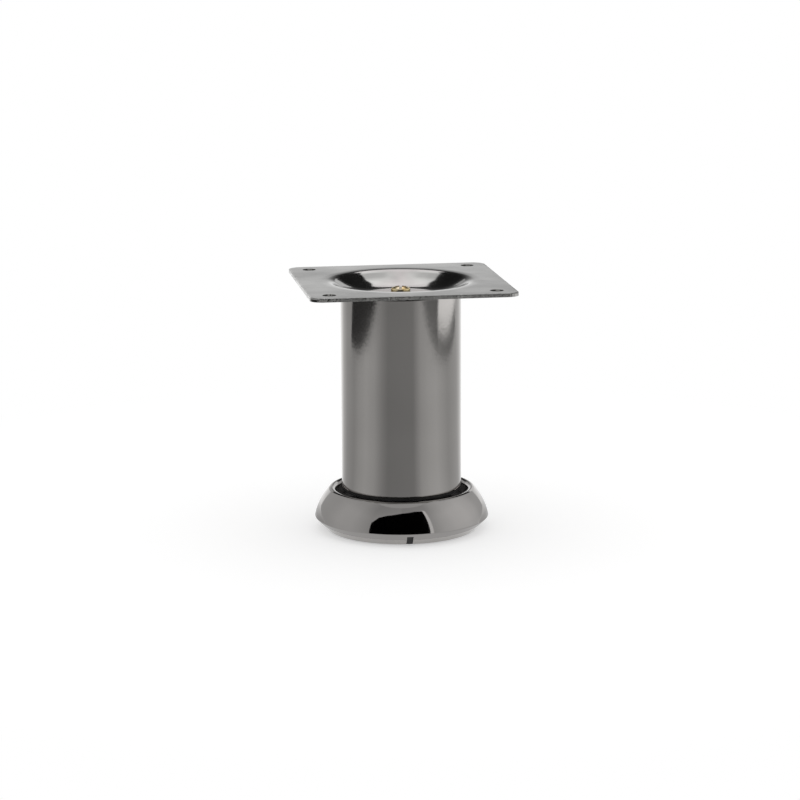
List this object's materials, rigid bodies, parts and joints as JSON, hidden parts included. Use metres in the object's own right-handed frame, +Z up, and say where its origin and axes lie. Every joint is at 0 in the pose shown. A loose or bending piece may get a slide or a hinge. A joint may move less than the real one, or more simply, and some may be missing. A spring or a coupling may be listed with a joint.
{
  "type": "adjustable furniture leg",
  "caption": "Short round metal furniture leg with a dished square mounting plate on top and a screw-adjustable domed foot.",
  "frame": {"origin": "centre of the foot's underside, at floor level", "axes": "+Z up along the leg to the mounting plate; X and Y along the plate's sides"},
  "size_m": [0.0844, 0.0844, 0.105],
  "materials": {
    "dark_chrome": "polished dark chrome",
    "dark_chrome_tube": "dark chrome over a faint drawn grain",
    "yellow_zinc": "yellow passivated zinc",
    "bright_zinc": "bright zinc",
    "black_nylon": "moulded, slightly satin"
  },
  "bodies": {
    "leg": {"mounting_plate": "dark_chrome", "plate_screw": "yellow_zinc", "split_washer": "bright_zinc", "leg_tube": "dark_chrome_tube", "top_plug": "black_nylon", "top_nut": "bright_zinc", "bottom_plug": "black_nylon", "spindle_nut": "bright_zinc"},
    "washer": {"loose_washer": "bright_zinc"},
    "foot": {"spindle": "bright_zinc", "foot_base": "black_nylon", "foot_cup": "dark_chrome"}
  },
  "joints": [
    {"name": "foot_height", "type": "slide", "parent": "leg", "child": "washer", "axis": [0, 0, 1], "range_m": [-0.0101, 0.0051]},
    {"name": "foot_turn", "type": "hinge", "parent": "washer", "child": "foot", "pos_m": [0, 0, 0], "axis": [0, 0, 1], "range_deg": [-2400, 1200]}
  ],
  "couplings": [
    {"joint": "foot_height", "follows": "foot_turn", "m_per_rad": 0.00023873}
  ]
}
